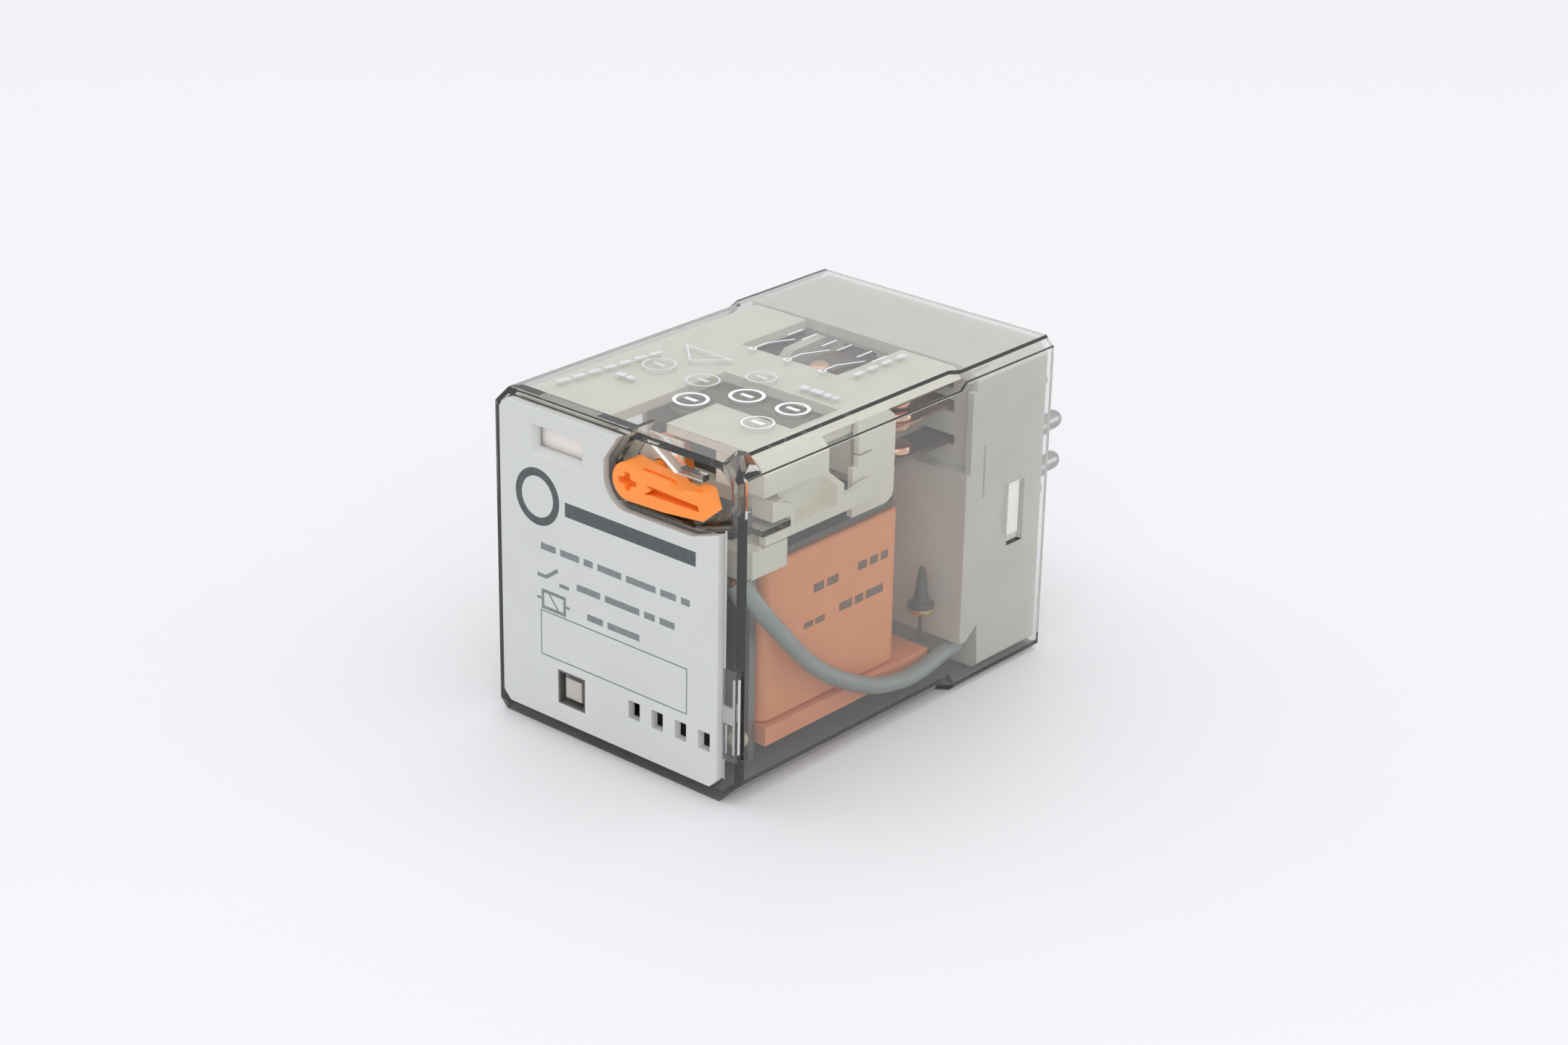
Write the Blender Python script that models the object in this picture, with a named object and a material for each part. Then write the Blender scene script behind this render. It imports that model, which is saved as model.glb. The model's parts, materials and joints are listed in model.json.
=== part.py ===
"""Plug-in industrial control relay: three changeover poles, clear cover, lying on one side.

Built in a frame in millimetres whose Y = 0 is the front edge of the cover, X runs across the
label face and Z is up from the side the relay lies on; put() converts that to metres with the
origin at the middle of the underside of the whole relay.
"""
import math

import bmesh
import bpy
from mathutils import Matrix, Vector

# ---- driving dimensions (mm) ----
WIDTH = 36.0            # across the label face
HEIGHT = 39.8           # label face, other way
DEPTH = 54.5            # cover, front edge to open end
WALL = 0.8              # cover wall
FRONT_CHAMFER = (1.1, 2.2, 2.0, 2.15)    # low left, low right, top right, top left
REAR_CHAMFER = (1.1, 0.8, 1.2, 1.2)
STEP = (37.4, 38.4)     # where the chamfers change
FACE_Y = -0.6           # front of the label plate and lever
PLATE = (-16.8, 15.95, 1.7, 38.65, 1.1)  # x, x, z, z, thickness
HUB = (2.7, 34.02)      # test lever axis in X, Z
LEVER_DEPTH = 2.9
HINGE = (8.4, 27.2)     # armature edge in Y, Z
OPEN_DEG = 5.2          # armature lift when the coil is off
POLES = (-11.0, 0.0, 11.0)
CONTACT_Y = 34.0
BLADE_HINGE = (43.2, 33.8)
BLADE_Z = 33.8
COIL_MID = 20.6
PIN_CIRCLE = 9.5
PIN_R = 1.18
PIN_COUNT = 11
PIN_TIP = 68.5
PLUG_Z = 20.9
BASE_REAR = 54.2
MM = 0.001
Y_MID = 0.5 * (FACE_Y + PIN_TIP)

for old in list(bpy.data.objects):
    bpy.data.objects.remove(old, do_unlink=True)

SCENE = bpy.context.scene
RELAY = bpy.data.collections.new("control_relay")
CUTTERS = bpy.data.collections.new("cutters")
SCENE.collection.children.link(RELAY)
SCENE.collection.children.link(CUTTERS)

LOOKS = {
    "smoked_clear": ((0.55, 0.54, 0.50, 0.35), 0.08, 0.0),
    "label_grey": ((0.61, 0.62, 0.60, 1), 0.45, 0.0),
    "clear_lens": ((0.75, 0.70, 0.66, 0.5), 0.1, 0.0),
    "flag_white": ((0.80, 0.70, 0.68, 1), 0.5, 0.0),
    "lever_orange": ((1.0, 0.26, 0.05, 1), 0.38, 0.0),
    "frame_cream": ((0.60, 0.60, 0.53, 1), 0.5, 0.0),
    "base_grey": ((0.55, 0.56, 0.51, 1), 0.5, 0.0),
    "bobbin_orange": ((0.75, 0.28, 0.14, 1), 0.45, 0.0),
    "tape_orange": ((0.78, 0.33, 0.17, 1), 0.55, 0.0),
    "insulator_grey": ((0.11, 0.11, 0.105, 1), 0.5, 0.0),
    "steel": ((0.52, 0.52, 0.51, 1), 0.35, 1.0),
    "copper": ((0.80, 0.42, 0.26, 1), 0.28, 1.0),
    "brass": ((0.75, 0.58, 0.28, 1), 0.3, 1.0),
    "nickel": ((0.66, 0.65, 0.62, 1), 0.25, 1.0),
    "silver": ((0.80, 0.66, 0.55, 1), 0.25, 1.0),
    "lead_grey": ((0.24, 0.27, 0.27, 1), 0.55, 0.0),
    "resin": ((0.70, 0.64, 0.40, 1), 0.2, 0.0),
}


def material(key):
    """Principled material of one look, made once."""
    found = bpy.data.materials.get(key)
    if found:
        return found
    colour, rough, metal = LOOKS[key]
    made = bpy.data.materials.new(key)
    made.use_nodes = True
    shader = made.node_tree.nodes["Principled BSDF"]
    shader.inputs["Base Color"].default_value = colour
    shader.inputs["Roughness"].default_value = rough
    shader.inputs["Metallic"].default_value = metal
    shader.inputs["Alpha"].default_value = colour[3]
    made.diffuse_color = colour
    return made


def put(name, bm, look, pivot=(0, 0, 0), smooth=False, cutter=False):
    """Turn a bmesh in millimetres into a named object whose origin is the pivot."""
    mid = Vector(pivot)
    for vert in bm.verts:
        vert.co = (vert.co - mid) * MM
    bmesh.ops.recalc_face_normals(bm, faces=bm.faces[:])
    mesh = bpy.data.meshes.new(name)
    bm.to_mesh(mesh)
    bm.free()
    obj = bpy.data.objects.new(name, mesh)
    obj.location = ((mid.x) * MM, (mid.y - Y_MID) * MM, mid.z * MM)
    if cutter:
        CUTTERS.objects.link(obj)
        obj.hide_render = True
        obj.display_type = "WIRE"
        return obj
    RELAY.objects.link(obj)
    mesh.materials.append(material(look))
    if smooth:
        mesh.shade_smooth()
        mesh.set_sharp_from_angle(angle=math.radians(35))
    return obj


def add_box(bm, x0, x1, y0, y1, z0, z1):
    """Add one closed box to a bmesh."""
    size = Matrix.Diagonal((x1 - x0, y1 - y0, z1 - z0, 1))
    spot = Matrix.Translation(((x0 + x1) / 2, (y0 + y1) / 2, (z0 + z1) / 2))
    bmesh.ops.create_cube(bm, size=1.0, matrix=spot @ size)


def box(*span):
    bm = bmesh.new()
    add_box(bm, *span)
    return bm


def add_cylinder(bm, r, axis, at, lo, hi, segments=20, r2=None):
    """Add a capped cylinder along axis x, y or z; at gives the other two coordinates."""
    turn = {"x": Matrix.Rotation(math.pi / 2, 4, "Y"), "y": Matrix.Rotation(-math.pi / 2, 4, "X"),
            "z": Matrix.Identity(4)}[axis]
    mid = (lo + hi) / 2
    spot = {"x": (mid, at[0], at[1]), "y": (at[0], mid, at[1]), "z": (at[0], at[1], mid)}[axis]
    bmesh.ops.create_cone(bm, cap_ends=True, segments=segments, radius1=r,
                          radius2=r if r2 is None else r2, depth=hi - lo,
                          matrix=Matrix.Translation(spot) @ turn)


def cylinder(*args, **kw):
    bm = bmesh.new()
    add_cylinder(bm, *args, **kw)
    return bm


def loft(rings):
    """Closed solid through rings of equal point count, capped at both ends."""
    bm = bmesh.new()
    rows = [[bm.verts.new(p) for p in ring] for ring in rings]
    count = len(rows[0])
    for low, high in zip(rows, rows[1:]):
        for i in range(count):
            j = (i + 1) % count
            a, b, c, d = low[i], low[j], high[j], high[i]
            skew = (b.co - a.co).cross(d.co - a.co).dot(c.co - a.co)
            corners = ((a, b, c), (a, c, d)) if abs(skew) > 1e-5 else ((a, b, c, d),)
            for corner in corners:
                bm.faces.new(corner)
    bm.faces.new(rows[0])
    bm.faces.new(rows[-1])
    return bm


def prism(outline, axis, lo, hi):
    """Outline of 2D points swept along an axis (x: points are Y, Z; y: X, Z; z: X, Y)."""
    def at(point, depth):
        a, b = point
        return {"x": (depth, a, b), "y": (a, depth, b), "z": (a, b, depth)}[axis]
    return loft([[at(p, lo) for p in outline], [at(p, hi) for p in outline]])


def change(obj, bm, operation="DIFFERENCE", pivot=(0, 0, 0)):
    """Cut or join one closed mesh with a live exact Boolean."""
    label = f"{obj.name}_{operation[:3].lower()}_{len(obj.modifiers)}"
    tool = put(label, bm, None, pivot, cutter=True)
    step = obj.modifiers.new(label, "BOOLEAN")
    step.operation = operation
    step.solver = "EXACT"
    step.object = tool


def cut(obj, *solids):
    for bm in solids:
        change(obj, bm)


def join(obj, *solids):
    for bm in solids:
        change(obj, bm, "UNION")


def chamfered(x0, x1, z0, z1, chamfers):
    """Four-sided outline with its corners cut, from the low left corner round."""
    a, b, c, d = chamfers
    return [(x0 + a, z0), (x1 - b, z0), (x1, z0 + b), (x1, z1 - c),
            (x1 - c, z1), (x0 + d, z1), (x0, z1 - d), (x0, z0 + a)]


def arc(cx, cy, r, start, end, steps):
    """Points on a circle between two angles in degrees."""
    return [(cx + r * math.cos(math.radians(start + (end - start) * k / steps)),
             cy + r * math.sin(math.radians(start + (end - start) * k / steps)))
            for k in range(steps + 1)]


def ring_at(y, inset, chamfers):
    less = inset * 0.586
    outline = chamfered(-WIDTH / 2 + inset, WIDTH / 2 - inset, inset, HEIGHT - inset,
                        [max(c - less, 0.15) for c in chamfers])
    return [(x, y, z) for x, z in outline]


# ---- cover ----
RIM = 0.5
FRONT_WALL = (0.8, 2.0)     # label seat and inner face, in Y
TUB_BACK = 4.3
LIP = ([(3.39, 40.5), (-0.05, 35.3)] + arc(2.55, 33.8, 2.6, 180, 264, 7)
       + [(11.9, 31.25), (19.0, 33.53)])


def lip(outward, top, right):
    """Edge of the lever pocket moved outward, ended at a height and at a width."""
    moved = []
    for i, (x, z) in enumerate(LIP):
        back, ahead = LIP[max(i - 1, 0)], LIP[min(i + 1, len(LIP) - 1)]
        legs = [Vector((q[0] - p[0], q[1] - p[1])).normalized()
                for p, q in ((back, (x, z)), ((x, z), ahead)) if p != q]
        normal = Vector((sum(v.y for v in legs), -sum(v.x for v in legs))) / len(legs)
        moved.append(Vector((x, z)) + normal * outward / normal.length_squared)
    first, second, third, last = moved[0], moved[1], moved[-2], moved[-1]
    moved[0] = second + (first - second) * (top - second.y) / (first.y - second.y)
    moved[-1] = third + (last - third) * (right - third.x) / (last.x - third.x)
    return [tuple(v) for v in moved]


def label_outline(x0, x1, z0, z1, outward, corner):
    """Outline of the label plate: a rectangle with cut corners, less the lever pocket."""
    return ([(x0 + corner, z0), (x1 - corner, z0), (x1, z0 + corner)]
            + list(reversed(lip(outward, z1, x1)))
            + [(x0 + corner, z1), (x0, z1 - corner), (x0, z0 + corner)])


cover = put("cover", loft([ring_at(0, 0, FRONT_CHAMFER), ring_at(STEP[0], 0, FRONT_CHAMFER),
                           ring_at(STEP[1], 0, REAR_CHAMFER), ring_at(DEPTH, 0, REAR_CHAMFER)]),
            "smoked_clear")
cut(cover, loft([ring_at(FRONT_WALL[1], WALL, FRONT_CHAMFER),
                 ring_at(STEP[0] + 0.2, WALL, FRONT_CHAMFER),
                 ring_at(STEP[1] + 0.2, WALL, REAR_CHAMFER),
                 ring_at(DEPTH + 1, WALL, REAR_CHAMFER)]))
# tub round the test lever with its slanting right wall, then the label seat
OPENING = lip(0, 38.9, 17.15) + [(17.15, 37.3), (15.55, 38.9)]
join(cover, prism(lip(RIM, 39.4, 17.6) + [(17.6, 37.5), (15.7, 39.4)], "y", 1.0, TUB_BACK))
cut(cover, prism(label_outline(-17.1, PLATE[1] + 0.3, PLATE[2] - 0.3, 38.95, RIM, 1.2), "y",
                 -1.0, FRONT_WALL[0]),
    loft([[(x, -1.0, z) for x, z in OPENING], [(x, 0.0, z) for x, z in OPENING],
          [(min(x, 14.1), TUB_BACK, z) for x, z in OPENING],
          [(min(x, 14.1), TUB_BACK + 1, z) for x, z in OPENING]]),
    prism([(16.47, 2.0), (17.2, 2.0), (17.2, 6.0), (13.66, 6.0)], "z", 31.2, 37.4),
    box(-12.4, -3.6, 0.5, 2.6, 32.8, 38.2),         # behind the flag window
    box(2.0, 15.5, 0.5, 2.6, 5.2, 8.75),            # behind the row of square holes
    box(15.1, 18.6, 0.45, 1.5, 5.2, 16.2))          # side tongue of the label
for side in (-1, 1):
    lo, hi = sorted((side * 16.9, side * 18.6))
    cut(cover, box(lo, hi, 47.1, 50.0, 15.9, 23.7))
# shelf under the slider and the break-off stop over the lever
join(cover, box(12.6, 17.6, 4.4, 8.9, 30.4, 31.1),
     prism([(3.4, 39.4), (5.2, 39.4), (9.6, 36.9), (12.4, 37.0), (12.4, 36.3), (8.4, 36.2)],
           "y", 0.75, 1.75))

# ---- label plate with its side tongue ----
px0, px1, pz0, pz1, thick = PLATE
label = put("label_plate", prism(label_outline(px0, px1, pz0, pz1, RIM + 0.3, 1.1), "y",
                                 FACE_Y, FACE_Y + thick), "label_grey")
join(label, box(15.4, px1 - 0.05, FACE_Y + 0.8, 1.2, 9.4, 11.4), box(15.5, 17.4, 0.75, 1.2, 9.4, 11.4),
     box(17.1, 17.7, 0.75, 1.25, 5.9, 14.9))
WINDOW = {"outer": (-11.95, -3.95, 33.0, 36.75), "inner": (-11.3, -4.4, 34.0, 36.5)}


def rectangle(span, y):
    x0, x1, z0, z1 = span
    return [(x0, y, z0), (x1, y, z0), (x1, y, z1), (x0, y, z1)]


cut(label, loft([rectangle(WINDOW["outer"], FACE_Y - 0.2), rectangle(WINDOW["inner"], 0.1),
                 rectangle(WINDOW["inner"], 1.5)]),
    box(-8.1, -3.9, -2, 2, 4.0, 8.15))
for k in range(4):
    x = 2.8 + 3.46 * k
    cut(label, box(x, x + 1.7, -2, 3, 5.87, 8.05))
put("window_lens", loft([rectangle((-7.3, -4.7, 4.8, 7.35), FACE_Y + 0.35),
                         rectangle((-7.8, -4.2, 4.3, 7.85), FACE_Y + 0.6),
                         rectangle((-7.8, -4.2, 4.3, 7.85), 0.5)]), "clear_lens")

# ---- indicator flag ----
flag = put("flag", box(-12.0, -4.0, 0.85, 1.35, 33.2, 36.6), "flag_white")
join(flag, box(-9.0, -7.0, 1.25, 2.9, 33.2, 34.1), box(-9.0, -7.0, 2.5, 2.9, 29.5, 34.1))

# ---- test lever: head, pointed arm, shaft and cam behind ----
hx, hz = HUB
FRONT = (arc(hx, hz, 2.2, 100, 275, 9)
         + [(8.0, 32.0), (13.75, 32.62), (16.4, 34.9), (15.3, 35.45), (12.9, 35.55), (11.3, 35.5),
            (10.5, 35.0), (9.2, 35.0), (8.4, 35.55), (4.4, 35.65)])
BACK = [(min(x, 12.2 + 0.25 * (x - 12.2)) if x > 12.2 else x, z) for x, z in FRONT]
lever = put("test_lever", loft([[(x, FACE_Y, z) for x, z in FRONT],
                                [(x, FACE_Y + LEVER_DEPTH, z) for x, z in BACK]]),
            "lever_orange", pivot=(hx, 0, hz))
join(lever, cylinder(1.0, "y", HUB, 2.0, 6.9, segments=16))
join(lever, cylinder(2.9, "y", HUB, 5.4, 6.9, segments=24))
CROSS = [(1.33, -0.3), (1.33, 0.3), (0.5, 0.42), (0.36, 1.07), (-0.36, 1.07), (-0.5, 0.42),
         (-1.33, 0.3), (-1.33, -0.3), (-0.5, -0.42), (-0.36, -1.07), (0.36, -1.07), (0.5, -0.42)]
cut(lever, prism([(hx + x, hz + z) for x, z in CROSS], "y", -2, 0.6),
    prism([(5.3, 33.3), (6.3, 33.42), (12.95, 33.5), (13.1, 33.8), (12.85, 34.15), (6.5, 34.38),
           (5.6, 34.42), (6.1, 33.92)], "y", -2, 0.6),
    box(4.2, 12.7, 0.2, 0.75, 35.15, 36.5))

# ---- test slider: side arm with a post, an open tray and the inner cross arm ----
slider = put("test_slider", prism([(5.2, 29.05), (22.8, 29.05)] + arc(23.0, 30.2, 1.15, -90, 90, 6)
                                  + [(21.6, 31.3), (19.8, 30.9), (18.1, 31.2), (17.2, 30.25), (5.2, 30.25)],
                                  "x", 15.95, 16.95), "frame_cream")
join(slider, prism([(6.3, 29.6), (9.95, 29.6), (9.95, 32.5), (6.3, 33.8)], "x", 14.0, 16.95),
     box(14.0, 16.95, 9.5, 18.0, 29.5, 30.25),
     prism([(9.5, 29.6), (18.0, 29.6), (18.0, 33.4), (9.5, 34.0)], "x", 14.0, 14.8),
     prism([(14.0, 29.6), (16.95, 29.6), (16.95, 32.4), (14.0, 33.4)], "y", 16.9, 18.0),
     box(1.6, 16.2, 7.4, 8.8, 31.6, 33.3))
cut(slider, box(12.2, 18.0, 4.0, 9.2, 30.1, 31.4))

# ---- front frame round the lever shaft and over the yoke ----
front_frame = put("front_frame", box(-15.2, 16.5, 4.6, 5.1, 27.2, 37.2), "frame_cream")
join(front_frame, box(13.0, 16.6, 3.6, 9.2, 25.5, 28.7), box(-16.6, -13.0, 3.6, 9.2, 25.5, 28.7))
cut(front_frame, box(5.8, 17.5, 0, 5.3, 29.0, 38.0), cylinder(1.05, "y", HUB, 4.0, 6.0, segments=32))

# ---- top frame: blocks, side plates and roof ----
top_frame = put("top_frame", prism([(-16.7, 36.2), (-16.0, 36.2), (-15.5, 37.4), (15.0, 37.4), (15.4, 37.7),
                                    (14.6, 38.65), (-15.2, 38.65), (-16.7, 37.1)], "y", 2.4, 40.3),
                "frame_cream")
for side in (-1, 1):
    lo, hi = sorted((side * 14.85, side * 15.65))
    join(top_frame, prism([(21.0, 27.0), (26.6, 27.0)] + arc(26.6, 28.6, 1.6, -80, -10, 4)
                          + [(28.2, 36.9), (27.0, 37.9), (21.9, 37.9), (21.9, 32.8), (21.0, 32.8)],
                          "x", lo, hi))
    a = (10.0, 16.5) if side > 0 else (-16.5, -10.0)
    edges = [(a[0], 34.3), (a[1], 34.3), (a[1], 36.9), (a[1] - 1.2, 38.2), (a[0], 38.2)]
    if side < 0:
        edges = [(a[1], 34.3), (a[1], 38.2), (a[0] + 1.2, 38.2), (a[0], 36.9), (a[0], 34.3)]
    join(top_frame, prism(edges, "y", 5.4, 15.9))
join(top_frame, prism([(13.8, 36.2), (14.6, 36.2), (14.8, 37.8), (14.0, 38.4), (13.8, 38.4)],
                      "y", 15.0, 22.5))
cut(top_frame, box(-2.9, 3.0, 0, 14.0, 37.0, 39.5), box(-2.9, 13.8, 13.2, 21.0, 37.0, 39.5),
    box(2.5, 17.5, 0, 5.2, 36.0, 39.5), box(-7.5, 6.9, 28.9, 41.0, 37.0, 39.5),
    box(14.0, 16.6, 20.0, 24.2, 34.0, 34.25))

# ---- magnet: yoke, core, bobbin, winding, shading ring ----
yoke = put("yoke", box(-13.3, 13.3, 7.0, 8.0, 1.3, 25.0), "steel")
join(yoke, box(-12.3, 12.3, 7.0, 8.0, 24.8, 26.9), box(-9.0, 9.0, 7.2, 28.0, 1.3, 2.8))
cut(yoke, cylinder(3.1, "z", (0, COIL_MID), 0, 4, segments=24))
core = put("core", cylinder(2.8, "z", (0, COIL_MID), 1.3, 26.9, segments=24), "steel", smooth=True)
join(core, cylinder(6.4, "z", (0, COIL_MID), 26.3, 27.4, segments=32))
cut(core, box(-7, 7, COIL_MID + 2.4, COIL_MID + 3.4, 26.85, 28.0))
put("shading_ring", box(-5.2, 5.2, COIL_MID + 2.55, COIL_MID + 3.25, 26.98, 27.42), "copper")

bobbin = put("bobbin", box(-14.5, 14.5, 8.5, 37.0, 3.1, 5.3), "bobbin_orange")
join(bobbin, cylinder(4.2, "z", (0, COIL_MID), 4.0, 24.5, segments=28))
cut(bobbin, cylinder(3.1, "z", (0, COIL_MID), 0, 30, segments=24), box(-8.5, 8.5, 33.6, 40, 0, 10))
winding = put("winding", prism(
    arc(12.4, 10.1, 1.5, 270, 360, 4) + arc(12.4, 30.4, 1.5, 0, 90, 4)
    + arc(-12.4, 30.4, 1.5, 90, 180, 4) + arc(-12.4, 10.1, 1.5, 180, 270, 4),
    "z", 5.5, 24.5), "tape_orange", smooth=True)
cut(winding, cylinder(4.4, "z", (0, COIL_MID), 0, 30, segments=28))
insulator = put("top_insulator", prism(
    arc(12.4, 10.1, 1.0, 270, 360, 3) + arc(12.4, 30.6, 1.0, 0, 90, 3)
    + arc(-12.4, 30.6, 1.0, 90, 180, 3) + arc(-12.4, 10.1, 1.0, 180, 270, 3),
    "z", 24.75, 25.5), "insulator_grey")
cut(insulator, cylinder(3.1, "z", (0, COIL_MID), 20, 30, segments=24))

# ---- armature, open, and the carrier on it ----
lift = Matrix.Rotation(math.radians(OPEN_DEG), 4, "X")
hinge = Vector((0, HINGE[0], HINGE[1]))


def tilted(bm, centre, degrees):
    """Turn a solid about X round a point."""
    turn = Matrix.Rotation(math.radians(degrees), 4, "X")
    bmesh.ops.transform(bm, matrix=Matrix.Translation(centre) @ turn @ Matrix.Translation(-centre),
                        verts=bm.verts[:])
    return bm


armature = put("armature", tilted(prism([(-12.2, 6.9), (12.2, 6.9), (12.2, 20.0), (8.5, 27.4),
                                         (-8.5, 27.4), (-12.2, 20.0)], "z", 27.75, 29.15),
                                  hinge, OPEN_DEG), "steel", pivot=hinge)
ARM_TOP = 29.15
carrier = put("carrier", tilted(prism(
    [(23.6, ARM_TOP + 0.1), (25.2, ARM_TOP + 0.1), (25.4, 33.0), (28.9, 33.0), (29.3, 32.35),
     (30.4, 32.35), (30.4, 34.0), (25.0, 34.3), (23.6, 33.6)], "x", -13.4, 13.4),
    hinge, OPEN_DEG), "frame_cream", pivot=hinge)
for x in (-5.5, 5.5):
    change(carrier, tilted(box(x - 1.6, x + 1.6, 26.6, 31.0, 30.0, 35.5), hinge, OPEN_DEG), pivot=hinge)

# return spring: leaf on the yoke with its lip over the armature tail
put("return_spring", prism(
    [(6.35, 12.0), (6.7, 12.0), (6.7, 26.2), (6.0, 28.9), (6.35, 29.1), (8.2, 29.9), (8.1, 30.25),
     (6.0, 29.4), (5.6, 28.9), (6.35, 26.0)], "x", -3.5, 3.5), "steel")

# ---- contacts ----


def contact_rivet(x, heads):
    """Round rivet as one lathe solid; heads are (z, radius) from the bottom up."""
    return loft([[(px, py, z) for px, py in arc(x, CONTACT_Y, r, 0, 340, 17)] for z, r in heads])


blade_axis = Vector((0, BLADE_HINGE[0], BLADE_HINGE[1]))
for tag, x in zip(("left", "middle", "right"), POLES):
    pivot = (x, BLADE_HINGE[0], BLADE_HINGE[1])
    blade = put(f"blade_{tag}", prism(
        [(x - 2.0, 44.1), (x - 2.0, 36.4), (x - 2.3, 35.4), (x - 2.3, 30.3), (x - 1.6, 29.6),
         (x + 1.6, 29.6), (x + 2.3, 30.3), (x + 2.3, 35.4), (x + 2.0, 36.4), (x + 2.0, 44.1)],
        "z", BLADE_Z - 0.17, BLADE_Z + 0.17), "copper", pivot=pivot)
    change(blade, cylinder(1.0, "z", (x, CONTACT_Y), 33, 35, segments=18), pivot=pivot)
    put(f"blade_rivet_{tag}", contact_rivet(x, [
        (32.75, 1.1), (32.95, 1.8), (33.57, 1.95), (33.57, 0.8), (34.03, 0.8), (34.03, 1.95),
        (34.6, 1.8), (34.85, 1.1)]), "silver", pivot=pivot, smooth=True)
    rest = put(f"rest_contact_{tag}", box(x - 2.1, x + 2.1, 31.6, 44.6, 36.0, 36.5), "copper")
    cut(rest, cylinder(0.95, "z", (x, CONTACT_Y), 35, 38, segments=18))
    put(f"rest_rivet_{tag}", contact_rivet(x, [
        (35.1, 1.1), (35.3, 1.8), (35.94, 1.95), (35.94, 0.75), (36.56, 0.75), (36.56, 1.3),
        (36.85, 1.0)]), "silver", smooth=True)
    work = put(f"work_contact_{tag}", box(x - 2.1, x + 2.1, 31.6, 44.6, 29.3, 29.9), "copper")
    cut(work, cylinder(0.95, "z", (x, CONTACT_Y), 28, 31, segments=18))
    put(f"work_rivet_{tag}", contact_rivet(x, [
        (28.6, 1.0), (28.9, 1.4), (29.24, 1.5), (29.24, 0.75), (29.96, 0.75), (29.96, 1.95),
        (30.7, 1.8), (30.95, 1.1)]), "silver", smooth=True)

# ---- base: body, inner wall, barriers, key post ----
BODY = chamfered(-16.9, 16.9, 1.1, 38.7, (0.9, 0.7, 1.0, 1.0))
base = put("base", loft([[(x, 43.3 - 0.0585 * (z - 1.1), z) for x, z in BODY],
                         [(x, BASE_REAR, z) for x, z in BODY]]), "base_grey")
join(base, prism([(39.8, 5.45), (40.9, 5.4), (43.3, 7.3), (43.9, 7.6), (43.9, 26.6), (39.8, 26.6)],
                 "x", -16.9, 16.9),
     box(16.1, 16.9, 40.5, 44.0, 26.0, 36.5), box(-16.9, -16.1, 40.5, 44.0, 26.0, 36.5),
     box(-16.3, 16.3, 40.7, 44.0, 37.45, 38.7))
for x in (-5.5, 5.5):
    join(base, prism([(40.0, 26.4), (44.0, 26.4), (44.0, 37.6), (41.0, 37.2), (35.0, 36.9), (31.8, 34.6),
                      (31.8, 31.0), (34.0, 28.0)], "x", x - 0.75, x + 0.75))
for x in POLES:
    for z, tall in ((36.25, 0.55), (BLADE_Z, 0.75), (29.6, 0.6)):
        cut(base, box(x - 2.5, x + 2.5, 39.0, 45.1, z - tall, z + tall))
join(base, prism(arc(0, PLUG_Z, 4.0, 0, 360 * 27 / 28, 27), "y", BASE_REAR - 1, 66.0),
     box(3.4, 5.4, BASE_REAR - 1, 65.0, PLUG_Z - 0.7, PLUG_Z + 0.7))
for side in (-1, 1):
    lo, hi = sorted((side * 16.5, side * 17.55))
    join(base, box(lo, hi, 47.4, 49.7, 16.9, 23.4))
    lo, hi = sorted((side * 16.6, side * 17.5))
    cut(base, box(lo, hi, 42.9, 43.25, 23.0, 29.5))
for k in range(PIN_COUNT):
    turn = 2 * math.pi * (k + 0.5) / PIN_COUNT
    x, z = PIN_CIRCLE * math.cos(turn), PLUG_Z + PIN_CIRCLE * math.sin(turn)
    cut(base, cylinder(PIN_R + 0.25, "y", (x, z), BASE_REAR - 4.0, BASE_REAR + 1, segments=14))
    rings = [(BASE_REAR - 3.7, PIN_R), (PIN_TIP - 1.1, PIN_R), (PIN_TIP - 0.4, PIN_R * 0.8),
             (PIN_TIP, PIN_R * 0.35)]
    put(f"pin_{k + 1:02d}", loft([[(px, y, pz) for px, pz in arc(x, z, r, 0, 337.5, 15)]
                                  for y, r in rings]), "nickel", smooth=True)

# ---- coil terminals, resin beads and the inner lead ----
for tag, x in (("left", -13.2), ("right", 13.2)):
    rings = [(9.4, 1.2), (9.7, 1.6), (10.6, 1.65), (11.0, 0.95), (15.0, 0.4), (15.3, 0.2)]
    terminal = put(f"coil_terminal_{tag}", loft([[(px, py, z) for px, py in arc(x, 37.0, r, 0, 342, 19)]
                                                 for z, r in rings]), "brass", smooth=True)
    join(terminal, box(x - 0.3, x + 0.3, 36.4, 37.0, 5.6, 9.7))
for tag, y, z, r in (("upper", 5.7, 23.7, 0.75), ("lower", 5.8, 4.7, 0.8)):
    bead = bmesh.new()
    spot = Matrix.Translation((13.3, y, z)) @ Matrix.Diagonal((1.1, 1.0, 1.25, 1))
    bmesh.ops.create_uvsphere(bead, u_segments=14, v_segments=8, radius=r, matrix=spot)
    put(f"resin_bead_{tag}", bead, "resin", smooth=True)

ROUTE = [(14.6, 4.3, 24.3), (15.4, 4.6, 23.0), (15.85, 5.9, 21.0), (15.9, 8.4, 18.0),
         (15.9, 11.8, 14.2), (15.9, 15.0, 11.1), (15.9, 18.3, 8.7), (15.9, 21.7, 6.75),
         (15.9, 26.2, 4.75), (15.9, 30.8, 3.85), (15.8, 34.5, 3.9), (15.6, 37.4, 4.3),
         (15.2, 39.4, 4.25), (14.8, 41.8, 4.1)]
LEAD_R = 0.98
rows = []
for i, point in enumerate(ROUTE):
    ahead = Vector(ROUTE[min(i + 1, len(ROUTE) - 1)]) - Vector(ROUTE[max(i - 1, 0)])
    ahead.normalize()
    side = ahead.cross(Vector((1, 0, 0))).normalized()
    other = ahead.cross(side).normalized()
    rows.append([tuple(Vector(point) + a * side + b * other)
                 for a, b in arc(0, 0, LEAD_R, 0, 360 * 13 / 14, 13)])
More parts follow.
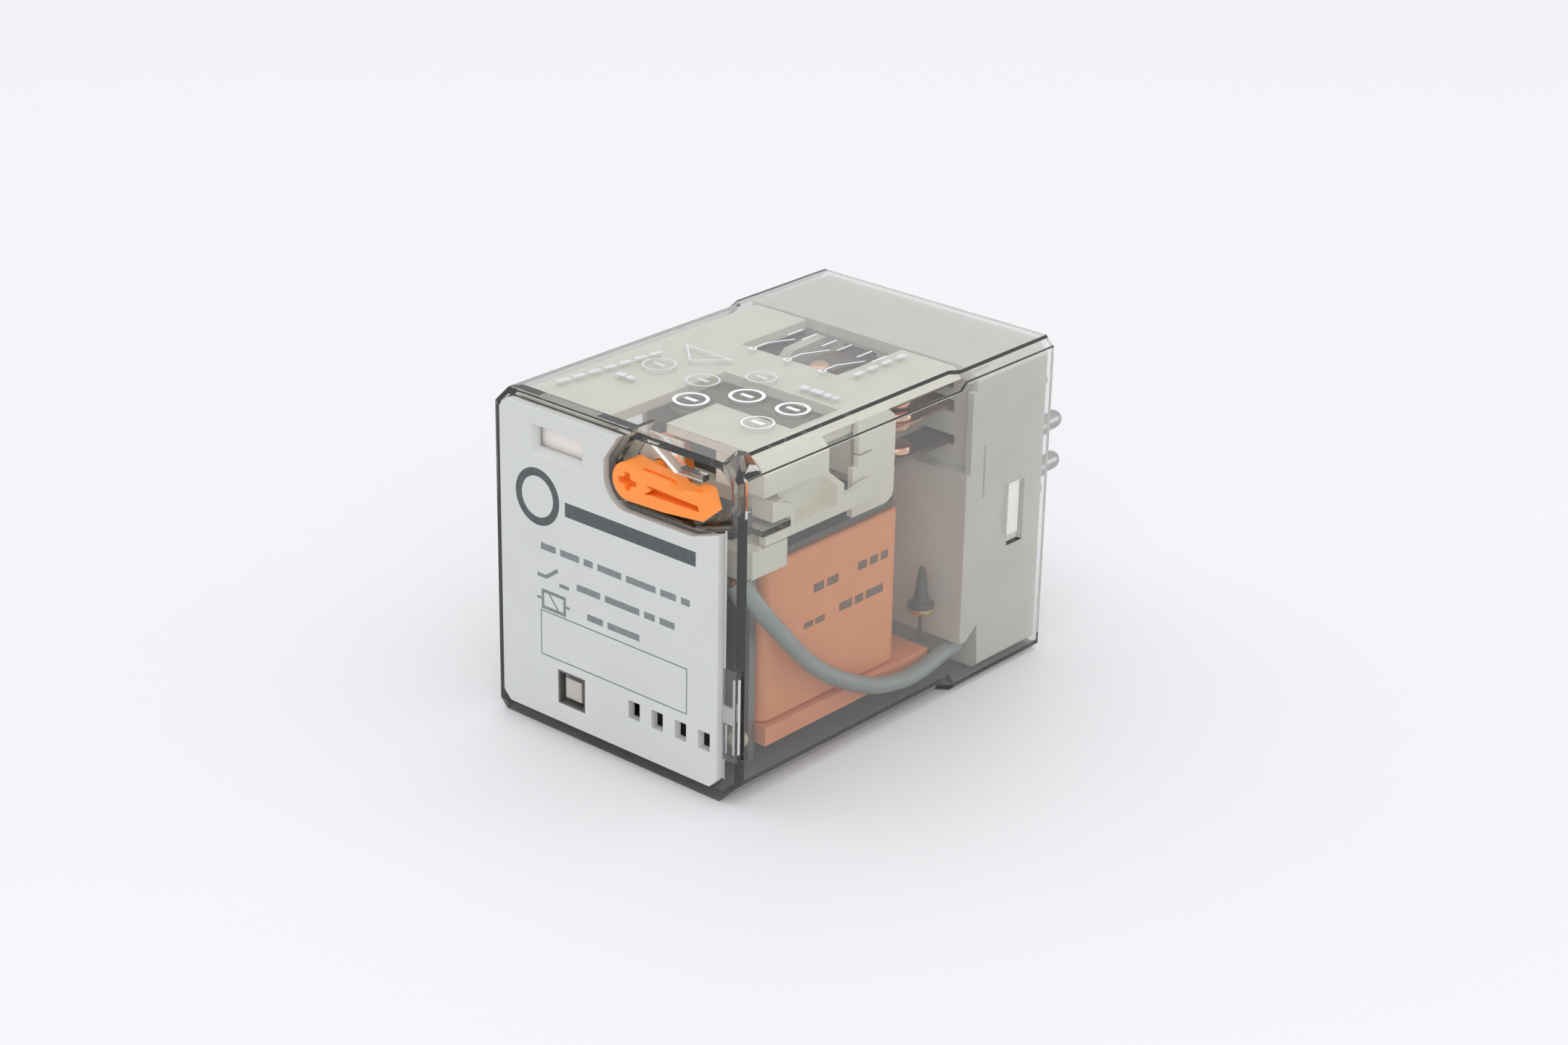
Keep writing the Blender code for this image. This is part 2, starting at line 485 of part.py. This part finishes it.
put("inner_lead", loft(rows), "lead_grey", smooth=True)
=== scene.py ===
import json
import math

import bmesh
import bpy
from mathutils import Matrix, Vector


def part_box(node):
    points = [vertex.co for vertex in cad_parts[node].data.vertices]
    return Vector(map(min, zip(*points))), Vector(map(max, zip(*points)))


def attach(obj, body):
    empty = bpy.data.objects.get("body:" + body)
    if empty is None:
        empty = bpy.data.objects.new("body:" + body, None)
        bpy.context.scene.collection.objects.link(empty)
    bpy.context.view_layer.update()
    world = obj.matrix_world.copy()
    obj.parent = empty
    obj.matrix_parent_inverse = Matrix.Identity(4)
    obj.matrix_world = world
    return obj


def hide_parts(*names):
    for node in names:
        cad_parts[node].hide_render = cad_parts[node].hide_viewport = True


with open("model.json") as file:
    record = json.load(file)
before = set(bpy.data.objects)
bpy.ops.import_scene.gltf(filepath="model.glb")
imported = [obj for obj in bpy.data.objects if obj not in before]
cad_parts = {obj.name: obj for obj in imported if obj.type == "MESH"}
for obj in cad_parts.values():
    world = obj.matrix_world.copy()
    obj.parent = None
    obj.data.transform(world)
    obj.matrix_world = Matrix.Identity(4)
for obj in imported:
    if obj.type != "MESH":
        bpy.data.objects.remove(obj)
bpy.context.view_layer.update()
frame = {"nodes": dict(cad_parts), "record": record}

MM = 0.001
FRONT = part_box("cover")[0].y          # front edge of the cover, Y = 0 of the part's own millimetres


def P(x, y, z):
    """A point given in the part's own millimetres, in the row frame."""
    return Vector((x * MM, FRONT + y * MM, z * MM))


def own(corner):
    """A point of the row frame in the part's own millimetres."""
    return Vector((corner.x, corner.y - FRONT, corner.z)) / MM


def span(node):
    """Lowest and highest corner of a CAD node, in the part's own millimetres."""
    low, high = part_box(node)
    return own(low), own(high)


# ---------------------------------------------------------------- materials
GRAIN_SCALE = 9000                    # spark-eroded grain of moulded plastic, cycles per metre
GRAIN_DEPTH = 0.02                    # mm
STREAK_SCALE = 900                    # drawn or brushed streaks of metal
STREAK_DEPTH = 0.01                   # mm
WAVE_SCALE = 140                      # slow waves in the clear mouldings
WAVE_DEPTH = 0.05                     # mm
HAZE = 0.015                          # share of light that the clear mouldings scatter
CLEAR_IOR = 1.49


class Look:
    """A material in the making: its nodes, links and Principled shader."""

    def __init__(self, name):
        self.made = bpy.data.materials.new(name)
        self.made.use_nodes = True
        self.nodes, self.links = self.made.node_tree.nodes, self.made.node_tree.links
        self.shader = self.nodes["Principled BSDF"]

    def feed(self, node, feeds):
        """Give inputs of a node a value, or a link where a socket is given."""
        for key, value in feeds.items():
            if isinstance(value, bpy.types.NodeSocket):
                self.links.new(value, node.inputs[key])
            else:
                node.inputs[key].default_value = value

    def node(self, kind, output=None, **feeds):
        """A new node, or one output of it; an underscore in an input's name stands for a space."""
        new = self.nodes.new(kind)
        self.feed(new, {key.replace("_", " "): value for key, value in feeds.items()})
        return new.outputs[output] if output else new

    def where(self):
        return self.node("ShaderNodeTexCoord", "Object")

    def noise(self, vector, scale, detail):
        return self.node("ShaderNodeTexNoise", "Fac", Vector=vector, Scale=scale, Detail=detail)

    def colour(self, fac, colour, spread):
        """Colour that drifts between a darker and a lighter shade of itself."""
        ramp = self.node("ShaderNodeValToRGB", Fac=fac)
        dark, light = ramp.color_ramp.elements
        dark.position, light.position = 0.3, 0.7
        dark.color = (*(Vector(colour) * (1 - spread)), 1)
        light.color = (*[min(1, v * (1 + spread)) for v in Vector(colour)], 1)
        self.feed(self.shader, {"Base Color": ramp.outputs["Color"]})

    def gloss(self, fac, low, high):
        rough = self.node("ShaderNodeMapRange", "Result", Value=fac, To_Min=low, To_Max=high)
        self.feed(self.shader, {"Roughness": rough})

    def bump(self, fac, strength, depth):
        normal = self.node("ShaderNodeBump", "Normal", Height=fac, Strength=strength, Distance=depth * MM)
        self.feed(self.shader, {"Normal": normal})


def plastic(name, colour, rough, spread=0.04, grain=0.3, coat=0.0, blotch=250, sss=0.0):
    """Moulded plastic or ink: slow colour drift, fine grain in the bump, uneven gloss."""
    look = Look(name)
    where = look.where()
    slow = look.noise(where, blotch, 3)
    look.colour(slow, colour, spread)
    look.bump(look.noise(where, GRAIN_SCALE, 2), grain, GRAIN_DEPTH)
    look.gloss(slow, max(0.03, rough - 0.06), rough + 0.06)
    look.feed(look.shader, {"Coat Weight": coat, "Subsurface Weight": sss})
    return look.made


def metal(name, colour, rough, stretch=(1, 1, 30)):
    """Metal with drawn or brushed streaks in its colour, gloss and bump."""
    look = Look(name)
    along = look.node("ShaderNodeMapping", "Vector", Vector=look.where(), Scale=stretch)
    streak = look.noise(along, STREAK_SCALE, 4)
    look.colour(streak, colour, 0.12)
    look.gloss(streak, max(0.05, rough - 0.1), rough + 0.12)
    look.bump(streak, 0.25, STREAK_DEPTH)
    look.feed(look.shader, {"Metallic": 1.0})
    return look.made


def clear(name, tint, density, rough=0.03):
    """Clear moulding: bends what is behind it, darkens along thick edges, lets lamp light through."""
    look = Look(name)
    look.feed(look.shader, {"Base Color": (1, 1, 1, 1), "Transmission Weight": 1.0, "IOR": CLEAR_IOR})
    wave = look.noise(look.where(), WAVE_SCALE, 2)
    look.gloss(wave, rough * 0.6, rough * 1.5)
    look.bump(wave, 0.15, WAVE_DEPTH)
    veil = look.node("ShaderNodeBsdfDiffuse", "BSDF", Color=(0.92, 0.92, 0.91, 1))
    through = look.node("ShaderNodeBsdfTransparent", "BSDF", Color=(0.985, 0.985, 0.98, 1))
    hazy = look.node("ShaderNodeMixShader", Fac=HAZE)
    look.feed(hazy, {1: look.shader.outputs["BSDF"], 2: veil})
    shadow = look.node("ShaderNodeLightPath", "Is Shadow Ray")
    either = look.node("ShaderNodeMixShader", Fac=shadow)
    look.feed(either, {1: hazy.outputs["Shader"], 2: through})
    dark = look.node("ShaderNodeVolumeAbsorption", "Volume", Color=(*tint, 1), Density=density)
    look.feed(look.nodes["Material Output"], {"Surface": either.outputs["Shader"], "Volume": dark})
    return look.made


CLEARS = {
    "smoked_clear": dict(tint=(0.33, 0.31, 0.25), density=240),
    "clear_lens": dict(tint=(0.60, 0.50, 0.45), density=300, rough=0.06),
}
PLASTICS = {
    "label_grey": dict(colour=(0.59, 0.605, 0.585), rough=0.5, spread=0.02),
    "flag_white": dict(colour=(0.85, 0.79, 0.755), rough=0.45, spread=0.03),
    "lever_orange": dict(colour=(1.0, 0.27, 0.035), rough=0.36, spread=0.03, sss=0.05),
    "frame_cream": dict(colour=(0.86, 0.85, 0.75), rough=0.45, spread=0.03),
    "base_grey": dict(colour=(0.73, 0.73, 0.68), rough=0.5, spread=0.03),
    "bobbin_orange": dict(colour=(0.95, 0.36, 0.17), rough=0.4, spread=0.05),
    "tape_orange": dict(colour=(1.0, 0.36, 0.14), rough=0.38, grain=0.15, coat=0.2),
    "insulator_grey": dict(colour=(0.10, 0.10, 0.095), rough=0.45, spread=0.1),
    "lead_grey": dict(colour=(0.34, 0.39, 0.39), rough=0.42, spread=0.05, grain=0.2),
    "resin": dict(colour=(0.62, 0.58, 0.36), rough=0.12, spread=0.15, blotch=900),
    "lens_tile": dict(colour=(0.45, 0.415, 0.38), rough=0.3, coat=0.5),
    "ink_dark": dict(colour=(0.07, 0.08, 0.085), rough=0.5, spread=0.15, blotch=1500),
    "ink_soft": dict(colour=(0.20, 0.21, 0.215), rough=0.5, spread=0.15, blotch=1500),
    "ink_tape": dict(colour=(0.22, 0.12, 0.08), rough=0.5, spread=0.2, blotch=1500),
    "ink_white": dict(colour=(0.80, 0.82, 0.86), rough=0.45, spread=0.03, blotch=1500),
    "ink_faint": dict(colour=(0.60, 0.615, 0.64), rough=0.45, spread=0.03, blotch=1500),
    "solder_dark": dict(colour=(0.07, 0.075, 0.06), rough=0.3, spread=0.3, blotch=1200),
}
METALS = {
    "steel": dict(colour=(0.26, 0.26, 0.255), rough=0.38),
    "copper": dict(colour=(0.62, 0.33, 0.22), rough=0.3),
    # darkened copper for the rest and work contact strips: painted shade, standing in for the shade they
    # lie in
    "copper_in_painted_shade": dict(colour=(0.20, 0.15, 0.13), rough=0.38, stretch=(30, 1, 1)),
    "brass": dict(colour=(0.85, 0.62, 0.25), rough=0.25),
    "nickel": dict(colour=(0.40, 0.40, 0.395), rough=0.4, stretch=(1, 30, 1)),
    "silver": dict(colour=(0.90, 0.52, 0.36), rough=0.2, stretch=(3, 3, 3)),
    "enamel_wire": dict(colour=(0.50, 0.20, 0.10), rough=0.25),
}
LOOKS = {name: make(name, **row)
         for make, rows in ((clear, CLEARS), (plastic, PLASTICS), (metal, METALS))
         for name, row in rows.items()}

# ---------------------------------------------------------------- CAD nodes that stay
SLOT = {row["node"]: row["material_slot"] for row in frame["record"]["subparts"]}
# rest and work contact strips take the darkened copper, which is painted shade
LOOK_OF = {name: "copper_in_painted_shade" for name in SLOT if name.startswith(("rest_contact", "work_contact"))}
EDGE_WIDTH = {"cover": 0.12, "test_lever": 0.18}          # mm, others 0.1
for name, node in frame["nodes"].items():
    node.data.materials.clear()
    node.data.materials.append(LOOKS[LOOK_OF.get(name, SLOT[name])])
    weld = node.modifiers.new("weld", "WELD")
    weld.merge_threshold = 1e-6
    flat = node.modifiers.new("flat", "DECIMATE")
    flat.decimate_type = "DISSOLVE"
    flat.angle_limit = math.radians(0.5)
    edge = node.modifiers.new("edge", "BEVEL")
    edge.width = EDGE_WIDTH.get(name, 0.1) * MM
    edge.segments = 2
    edge.limit_method = "ANGLE"
    edge.angle_limit = math.radians(32)
    edge.use_clamp_overlap = True
    node.data.shade_smooth()
    even = node.modifiers.new("even", "WEIGHTED_NORMAL")
    even.weight = 90


# ---------------------------------------------------------------- shapes
def piece(name, bm, look, replaces=()):
    """A finished object made of a bmesh in the part's own millimetres, riding on the fixed body."""
    for vert in bm.verts:
        vert.co = P(*vert.co)
    bmesh.ops.recalc_face_normals(bm, faces=bm.faces[:])
    mesh = bpy.data.meshes.new(name)
    bm.to_mesh(mesh)
    bm.free()
    mesh.materials.append(LOOKS[look])
    mesh.shade_smooth()
    mesh.set_sharp_from_angle(angle=math.radians(35))
    obj = bpy.data.objects.new(name, mesh)
    bpy.context.scene.collection.objects.link(obj)
    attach(obj, "relay_body")
    if replaces:
        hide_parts(*replaces)


def loft(bm, rings, closed=False):
    """Skin through rings of equal point count, capped, or joined end to end when closed."""
    rows = [[bm.verts.new(p) for p in ring] for ring in rings]
    pairs = list(zip(rows, rows[1:])) + ([(rows[-1], rows[0])] if closed else [])
    for low, high in pairs:
        for i in range(len(low)):
            j = (i + 1) % len(low)
            bm.faces.new((low[i], low[j], high[j], high[i]))
    if not closed:
        bm.faces.new(rows[0])
        bm.faces.new(rows[-1])


def circle(r, count, at=(0, 0)):
    return [(at[0] + r * math.cos(2 * math.pi * k / count), at[1] + r * math.sin(2 * math.pi * k / count))
            for k in range(count)]


def lathe(bm, profile, at, axis="z", count=32):
    """Turned solid: profile gives (distance along the axis, radius)."""
    if axis == "z":
        loft(bm, [[(a, b, along) for a, b in circle(r, count, at)] for along, r in profile])
    else:
        loft(bm, [[(a, along, b) for a, b in circle(r, count, at)] for along, r in profile])


def smooth_line(points, steps):
    """Points along a smooth curve that passes through the given ones."""
    pts = [Vector(p) for p in points]
    line = []
    for i in range(len(pts) - 1):
        p0, p1, p2, p3 = pts[max(i - 1, 0)], pts[i], pts[i + 1], pts[min(i + 2, len(pts) - 1)]
        for k in range(steps):
            t = k / steps
            line.append(0.5 * (2 * p1 + (p2 - p0) * t + (2 * p0 - 5 * p1 + 4 * p2 - p3) * t ** 2
                               + (3 * p1 - p0 - 3 * p2 + p3) * t ** 3))
    return line + [pts[-1]]


def pipe(bm, points, radius, count=16, steps=10):
    """Round tube along a smooth line through the points."""
    line = smooth_line(points, steps)
    side = None
    rings = []
    for i, point in enumerate(line):
        ahead = (line[min(i + 1, len(line) - 1)] - line[max(i - 1, 0)]).normalized()
        if side is None:
            side = ahead.orthogonal().normalized()
        side = (side - side.dot(ahead) * ahead).normalized()
        other = ahead.cross(side)
        rings.append([point + a * side + b * other for a, b in circle(radius, count)])
    loft(bm, rings)


def stroke(bm, path, width, place, closed=False):
    """Printed line of even width along a flat path; place(u, v, w) puts it on its surface."""
    pts = [Vector(p) for p in path]
    count = len(pts)
    rings = []
    for i, point in enumerate(pts):
        before = pts[i - 1] if closed or i else point
        after = pts[(i + 1) % count] if closed or i < count - 1 else point
        legs = [(q - p).normalized() for p, q in ((before, point), (point, after)) if (q - p).length > 1e-9]
        normal = Vector((-sum(v.y for v in legs), sum(v.x for v in legs))) / len(legs)
        normal *= 0.5 * width / normal.length_squared
        rings.append([place(*(point + normal), 0), place(*(point - normal), 0),
                      place(*(point - normal), 1), place(*(point + normal), 1)])
    loft(bm, rings, closed)


def dashes(bm, place, start, end, v, height, lengths, gap):
    """A row of plain bars of the given lengths, repeated from start to end."""
    u, k = start, 0
    while u < end - 0.2:
        stop = min(u + lengths[k % len(lengths)], end)
        stroke(bm, [(u, v), (stop, v)], height, place)
        u, k = stop + gap, k + 1


def rectangle(u0, v0, u1, v1):
    return [(u0, v0), (u1, v0), (u1, v1), (u0, v1)]


# ---------------------------------------------------------------- prints
LABEL_Y = span("label_plate")[0].y
COVER_TOP = span("cover")[1].z
TAPE_X = span("winding")[1].x
SUNK = 0.03                           # ink starts this far under its surface
INK = 0.005                           # and stands this far proud of it
TAPE_SUNK, TAPE_INK = 0.05, 0.02      # the same on the bulging tape


def on_label(u, v, w):
    return (u, LABEL_Y + SUNK - (SUNK + INK) * w, v)


def on_top(u, v, w):
    return (u, v, COVER_TOP - SUNK + (SUNK + INK) * w)


def on_tape(u, v, w):
    return (TAPE_X - TAPE_SUNK + (TAPE_SUNK + TAPE_INK) * w, u, v)


# front label: ring and heavy bar
bm = bmesh.new()
stroke(bm, circle(2.9, 48, (-10.95, 28.3)), 0.95, on_label, closed=True)
stroke(bm, [(-6.7, 28.0), (12.7, 28.0)], 1.7, on_label)
piece("label_prints", bm, "ink_dark")

# front label: rows of bars (height on the label, start, end, bar lengths), symbols, empty box
LABEL_ROWS = (
    (22.6, -10.5, 11.9, (2.3, 2.9, 1.4, 3.6, 4.4)),
    (19.2, -5.0, 9.7, (3.6, 5.2, 1.6)),
    (16.1, -3.4, 5.1, (2.4, 4.8)),
)
CONTACT_SYMBOL = (([(-11.1, 19.0), (-9.7, 19.0), (-7.9, 20.3)], 0.45), ([(-7.7, 18.6), (-6.2, 18.6)], 0.45))
COIL_OUTLINE = rectangle(-10.3, 15.2, -6.9, 17.2)
COIL_SYMBOL = (([(-9.3, 17.0), (-7.9, 15.4)], 0.24), ([(-11.2, 16.2), (-10.5, 16.2)], 0.3),
               ([(-6.7, 16.2), (-6.1, 16.2)], 0.3))
bm = bmesh.new()
for v, start, end, lengths in LABEL_ROWS:
    dashes(bm, on_label, start, end, v, 0.8, lengths, 0.7)
for path, width in CONTACT_SYMBOL:
    stroke(bm, path, width, on_label)
stroke(bm, COIL_OUTLINE, 0.4, on_label, closed=True)
for path, width in COIL_SYMBOL:
    stroke(bm, path, width, on_label)
stroke(bm, rectangle(-10.6, 9.35, 11.5, 14.75), 0.16, on_label, closed=True)
piece("label_print_lines", bm, "ink_soft")

# top of the cover: rings with a bar (x, y, radius, line width), changeover contact symbols
BRIGHT_RINGS = ((1.2, 11.0, 1.85, 0.42), (4.9, 16.0, 1.85, 0.42), (11.0, 10.9, 1.75, 0.22),
                (11.1, 16.5, 1.75, 0.42))
FAINT_RINGS = ((-8.7, 16.5, 1.85), (-1.8, 16.2, 1.85), (2.2, 21.4, 1.7))
SYMBOL_X = (-4.6, 0.6, 5.8)
SYMBOL_LINE = 0.22
bm = bmesh.new()
for x, y, r, width in BRIGHT_RINGS:
    stroke(bm, circle(r, 40, (x, y)), width, on_top, closed=True)
    stroke(bm, [(x - 0.85, y), (x + 0.85, y)], 0.6, on_top)
for x in SYMBOL_X:
    stroke(bm, circle(0.38, 16, (x, 27.6)), 0.2, on_top, closed=True)
    stroke(bm, [(x, 28.0), (x, 30.0), (x + 1.5, 33.2)], SYMBOL_LINE, on_top)
    for side in (x, x + 2.2):
        stroke(bm, [(side, 33.6), (side, 36.2)], SYMBOL_LINE, on_top)
piece("cover_prints", bm, "ink_white")

# top of the cover: faint rings, triangle and rows of bars
bm = bmesh.new()
for x, y, r in FAINT_RINGS:
    stroke(bm, circle(r, 40, (x, y)), 0.24, on_top, closed=True)
    stroke(bm, [(x - 0.8, y), (x + 0.8, y)], 0.45, on_top)
stroke(bm, [(-10.7, 23.2), (-3.7, 23.1), (-7.1, 19.8)], 0.26, on_top, closed=True)
dashes(bm, on_top, 7.2, 12.6, 22.3, 1.0, (1.1, 1.6, 0.9), 0.4)
dashes(bm, on_top, -10.2, -7.4, 11.3, 0.9, (1.2, 1.0), 0.35)
for k in range(7):
    x, y = -13.1 + 0.25 * k, 4.8 + 2.2 * k
    stroke(bm, [(x, y), (x + 0.3, y + 1.6)], 0.7, on_top)
for k in range(4):
    y = 29.0 + 2.5 * k
    stroke(bm, [(9.2, y), (9.2, y + 1.6)], 0.7, on_top)
piece("cover_prints_faint", bm, "ink_faint")

# ---------------------------------------------------------------- coil
CORNER = 1.5                          # corner radius of the taped coil
BORE_R = 4.4
BORE_STEPS = 48
BANDS = 10                            # tape turns seen as slight steps in the side
COIL_LOW, COIL_HIGH = span("winding")
CORE_Y = (span("core")[0].y + span("core")[1].y) / 2


def wrap(inset, z, count=12):
    """Outline of the taped coil: a rectangle with round corners."""
    points = []
    for k, (sx, sy) in enumerate(((1, 1), (-1, 1), (-1, -1), (1, -1))):
        cx = sx * (COIL_HIGH.x - CORNER)
        cy = (COIL_HIGH.y - CORNER) if sy > 0 else (COIL_LOW.y + CORNER)
        for a in range(count):
            t = math.radians(90 * k + 90 * a / (count - 1))
            points.append((cx + (CORNER - inset) * math.cos(t), cy + (CORNER - inset) * math.sin(t), z))
    return points


def bore(z, quarter=BORE_STEPS // 4):
    """Round hole for the core, with one point for each point of the wrap."""
    turns = [math.radians(90 * (k // quarter) + 90 * (k % quarter) / (quarter - 0.99))
             for k in range(BORE_STEPS)]
    return [(BORE_R * math.cos(t), CORE_Y + BORE_R * math.sin(t), z) for t in turns]


ends = ((0.3, 0.0), (0.06, 0.2), (0.0, 0.6))              # inset of the outline, distance from the end
low, high = COIL_LOW.z, COIL_HIGH.z
rings = [bore(low)] + [wrap(inset, low + rise) for inset, rise in ends]
for k in range(1, BANDS):
    z = low + 0.6 + (high - low - 1.2) * k / BANDS
    rings.append(wrap(0.03 if k % 2 else 0.0, z))
rings += [wrap(inset, high - rise) for inset, rise in reversed(ends)] + [bore(high)]
bm = bmesh.new()
loft(bm, rings, closed=True)
piece("coil_wrap", bm, "tape_orange", replaces=["winding"])

TAPE_ROWS = (                         # start and end along Y, height, bar height, bar lengths, gap
    (16.9, 21.1, 19.3, 1.0, (1.7, 1.9), 0.6),
    (24.5, 29.7, 19.5, 1.0, (1.5, 1.4, 1.2), 0.55),
    (21.4, 29.2, 15.5, 1.0, (2.2, 1.4, 3.0), 0.5),
    (15.4, 18.9, 15.2, 0.7, (1.5, 1.6), 0.4),
)
bm = bmesh.new()
for row in TAPE_ROWS:
    dashes(bm, on_tape, *row)
piece("coil_wrap_print", bm, "ink_tape")

# solder cones on the coil terminals and the brass rims that they stand on (height, radius)
CONE = [(9.35, 0.25), (9.5, 1.1), (9.95, 1.55), (10.5, 1.6), (10.75, 1.4), (11.0, 0.95),
        (12.2, 0.75), (13.6, 0.58), (14.8, 0.42), (15.1, 0.3)]
RIM = [(9.3, 0.9), (9.42, 1.3), (9.9, 1.62), (10.15, 1.66), (10.25, 1.5)]
for tag in ("left", "right"):
    node = f"coil_terminal_{tag}"
    low, high = span(node)
    at = ((low.x + high.x) / 2, (low.y + high.y) / 2)
    bm = bmesh.new()
    lathe(bm, [(low.z, 0.25)] + CONE + [(high.z, 0.1)], at)
    piece(f"solder_cone_{tag}", bm, "solder_dark", replaces=[node])
    bm = bmesh.new()
    lathe(bm, RIM, at)
    piece(f"terminal_rim_{tag}", bm, "brass")

# ---------------------------------------------------------------- square window of the label
low, high = span("window_lens")
bm = bmesh.new()
loft(bm, [[(u, y, v) for u, v in rectangle(low.x + inset, low.z + inset, high.x - inset, high.z - inset)]
          for inset, y in ((0.8, LABEL_Y + 0.3), (0.55, LABEL_Y + 0.42), (0.55, high.y))])
piece("lens_tile", bm, "lens_tile", replaces=["window_lens"])

SHADE_OUT, SHADE_FRONT = 0.22, 0.1    # painted shade: dark line outside the lens for the shade in the window's recess, and how far behind the label's face it starts
# dark grey line around the lens: painted shade of the window's recess, not a real frame
bm = bmesh.new()
stroke(bm, rectangle(low.x - SHADE_OUT, low.z - SHADE_OUT, high.x + SHADE_OUT, high.z + SHADE_OUT), 0.3,
       lambda u, v, w: (u, LABEL_Y + SHADE_FRONT + (high.y - LABEL_Y - SHADE_FRONT) * w, v), closed=True)
piece("lens_recess_painted_shade", bm, "insulator_grey")

# ---------------------------------------------------------------- lead, pins
LEAD_R = 0.98
LEAD_ROUTE = [(14.6, 4.3, 24.3), (15.4, 4.6, 23.0), (15.85, 5.9, 21.0), (15.9, 8.4, 18.0),
              (15.9, 11.8, 14.2), (15.9, 15.0, 11.1), (15.9, 18.3, 8.7), (15.9, 21.7, 6.75),
              (15.9, 26.2, 4.75), (15.9, 30.8, 3.85), (15.8, 34.5, 3.9), (15.6, 37.4, 4.3),
              (15.2, 39.4, 4.25), (14.8, 41.8, 4.1)]
LEAD_END = [(13.9, 4.6, 24.9), (14.3, 4.4, 24.7), (14.7, 4.25, 24.2)]
bm = bmesh.new()
pipe(bm, LEAD_ROUTE, LEAD_R, 24, 8)
piece("lead", bm, "lead_grey", replaces=["inner_lead"])
bm = bmesh.new()
pipe(bm, LEAD_END, 0.45, 12)
piece("lead_core", bm, "enamel_wire")

PIN_ROOT = ((0.0, 0.9), (0.2, 1.0), (4.4, 1.0), (4.5, 0.94), (4.9, 0.94), (5.0, 1.0))   # from the root
PIN_NOSE = ((1.5, 1.0), (0.9, 0.93), (0.45, 0.76), (0.15, 0.48), (0.0, 0.2))            # from the tip
for name in [n for n in SLOT if n.startswith("pin_")]:
    low, high = span(name)
    r = (high.x - low.x) / 2
    bm = bmesh.new()
    lathe(bm, [(low.y + along, r * share) for along, share in PIN_ROOT]
          + [(high.y - along, r * share) for along, share in PIN_NOSE],
          ((low.x + high.x) / 2, (low.z + high.z) / 2), axis="y", count=28)
    piece(f"turned_{name}", bm, "nickel", replaces=[name])

# ---------------------------------------------------------------- floor, light and camera
floor_bm = bmesh.new()
bmesh.ops.create_grid(floor_bm, x_segments=2, y_segments=2, size=3.0)
floor_mesh = bpy.data.meshes.new("floor")
floor_bm.to_mesh(floor_mesh)
floor_bm.free()
floor = bpy.data.objects.new("floor", floor_mesh)
bpy.context.scene.collection.objects.link(floor)
paper = Look("floor_paper")
paper.feed(paper.shader, {"Base Color": (0.735, 0.74, 0.752, 1), "Roughness": 0.6})
floor_mesh.materials.append(paper.made)

world = bpy.data.worlds.new("studio")
bpy.context.scene.world = world
world.use_nodes = True
sky = world.node_tree.nodes["Background"]
sky.inputs["Color"].default_value = (0.97, 0.98, 1.0, 1)
sky.inputs["Strength"].default_value = 0.88

LAMPS = (                             # name, place, aim, size (all in metres), watts
    ("top_box", (0.0, 0.1, 0.9), (0, 0, 0), (1.4, 1.4), 4.0),
    ("front_right", (0.6, -0.75, 0.45), (0, 0, 0.02), (0.9, 0.7), 2.2),
    ("left_box", (-0.8, -0.3, 0.5), (0, 0, 0.02), (0.9, 0.7), 0.7),
    ("back_right", (0.6, 0.75, 0.16), (0, 0, 0.03), (0.3, 0.3), 0.9),
)
for name, place, aim, size, watts in LAMPS:
    data = bpy.data.lights.new(name, "AREA")
    data.shape = "RECTANGLE"
    data.size, data.size_y = size
    data.energy = watts
    obj = bpy.data.objects.new(name, data)
    obj.location = place
    obj.rotation_mode = "QUATERNION"
    obj.rotation_quaternion = (Vector(aim) - Vector(place)).to_track_quat("-Z", "Y")
    bpy.context.scene.collection.objects.link(obj)

AZIMUTH, ELEVATION, ROLL = (math.radians(v) for v in (40.726, 23.466, 1.132))
CAMERA_AT = (215.707, -222.269, 162.898)                  # the part's own millimetres
FOCAL_PX, IMAGE_PX, SENSOR = 4305.8, 2160, 36.0           # focal length and image width in pixels, mm
back = Vector((math.sin(AZIMUTH) * math.cos(ELEVATION), -math.cos(AZIMUTH) * math.cos(ELEVATION),
               math.sin(ELEVATION)))
right = Vector((0, 0, 1)).cross(back).normalized()
up = back.cross(right)
rolled_right = math.cos(ROLL) * right + math.sin(ROLL) * up
rolled_up = -math.sin(ROLL) * right + math.cos(ROLL) * up
camera = bpy.data.objects.new("camera", bpy.data.cameras.new("camera"))
bpy.context.scene.collection.objects.link(camera)
facing = Matrix((rolled_right, rolled_up, back)).transposed()
camera.matrix_world = Matrix.Translation(P(*CAMERA_AT)) @ facing.to_4x4()
camera.data.sensor_width = SENSOR
camera.data.lens = FOCAL_PX / IMAGE_PX * SENSOR
camera.data.clip_start = 0.01
camera.data.clip_end = 20
bpy.context.scene.camera = camera
bpy.context.scene.view_settings.view_transform = "Standard"
